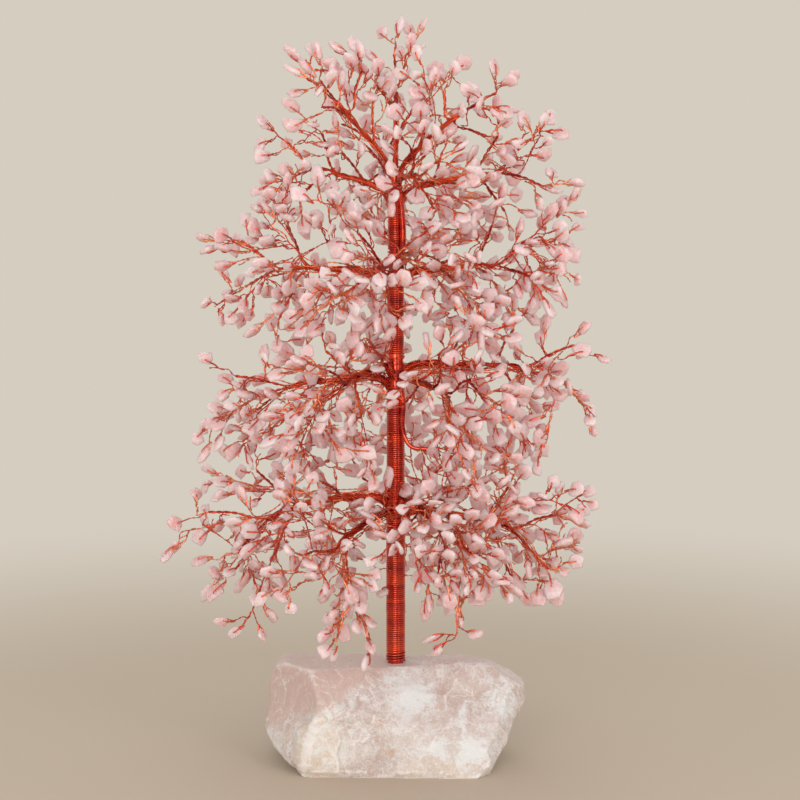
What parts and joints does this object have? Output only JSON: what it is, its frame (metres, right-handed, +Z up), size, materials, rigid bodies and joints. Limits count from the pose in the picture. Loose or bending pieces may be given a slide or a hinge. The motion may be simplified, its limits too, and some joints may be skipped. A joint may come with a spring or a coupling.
{
  "type": "gemstone tree ornament",
  "caption": "Ornamental tree of twisted copper-coloured wire with tumbled pink quartz chips for leaves, glued into a rough quartz stone with a flat underside.",
  "frame": {"origin": "on the stone's flat underside, straight below the trunk", "axes": "+Z up along the trunk, +X to the right seen from the front, +Y to the back"},
  "size_m": [0.2534, 0.2077, 0.4277],
  "materials": {
    "rough_quartz": "rough broken crystal",
    "quartz_chips": "tumbled, waxy",
    "copper_wire": "glossy red enamel",
    "set_adhesive": "clear, set hard"
  },
  "bodies": {
    "root": {"adhesive_bed": "set_adhesive", "base_stone": "rough_quartz", "chips_crown_leader": "quartz_chips", "chips_crown_left": "quartz_chips", "chips_crown_right": "quartz_chips", "chips_lower_back": "quartz_chips", "chips_lower_front_left": "quartz_chips", "chips_lower_front_right": "quartz_chips", "chips_lower_left": "quartz_chips", "chips_lower_right": "quartz_chips", "chips_lowest_back": "quartz_chips", "chips_lowest_front_left": "quartz_chips", "chips_lowest_front_right": "quartz_chips", "chips_lowest_left": "quartz_chips", "chips_lowest_right": "quartz_chips", "chips_middle_back": "quartz_chips", "chips_middle_front": "quartz_chips", "chips_middle_left": "quartz_chips", "chips_middle_right": "quartz_chips", "chips_upper_back": "quartz_chips", "chips_upper_front": "quartz_chips", "chips_upper_left": "quartz_chips", "chips_upper_right": "quartz_chips", "limb_crown_leader": "copper_wire", "limb_crown_left": "copper_wire", "limb_crown_right": "copper_wire", "limb_lower_back": "copper_wire", "limb_lower_front_left": "copper_wire", "limb_lower_front_right": "copper_wire", "limb_lower_left": "copper_wire", "limb_lower_right": "copper_wire", "limb_lowest_back": "copper_wire", "limb_lowest_front_left": "copper_wire", "limb_lowest_front_right": "copper_wire", "limb_lowest_left": "copper_wire", "limb_lowest_right": "copper_wire", "limb_middle_back": "copper_wire", "limb_middle_front": "copper_wire", "limb_middle_left": "copper_wire", "limb_middle_right": "copper_wire", "limb_upper_back": "copper_wire", "limb_upper_front": "copper_wire", "limb_upper_left": "copper_wire", "limb_upper_right": "copper_wire", "trunk_bindings": "copper_wire", "trunk_core": "copper_wire", "trunk_wrap_lower": "copper_wire", "trunk_wrap_lowest": "copper_wire", "trunk_wrap_middle": "copper_wire", "trunk_wrap_upper": "copper_wire", "twigs_crown": "copper_wire", "twigs_lower": "copper_wire", "twigs_lowest": "copper_wire", "twigs_middle": "copper_wire", "twigs_upper": "copper_wire"}
  },
  "joints": []
}
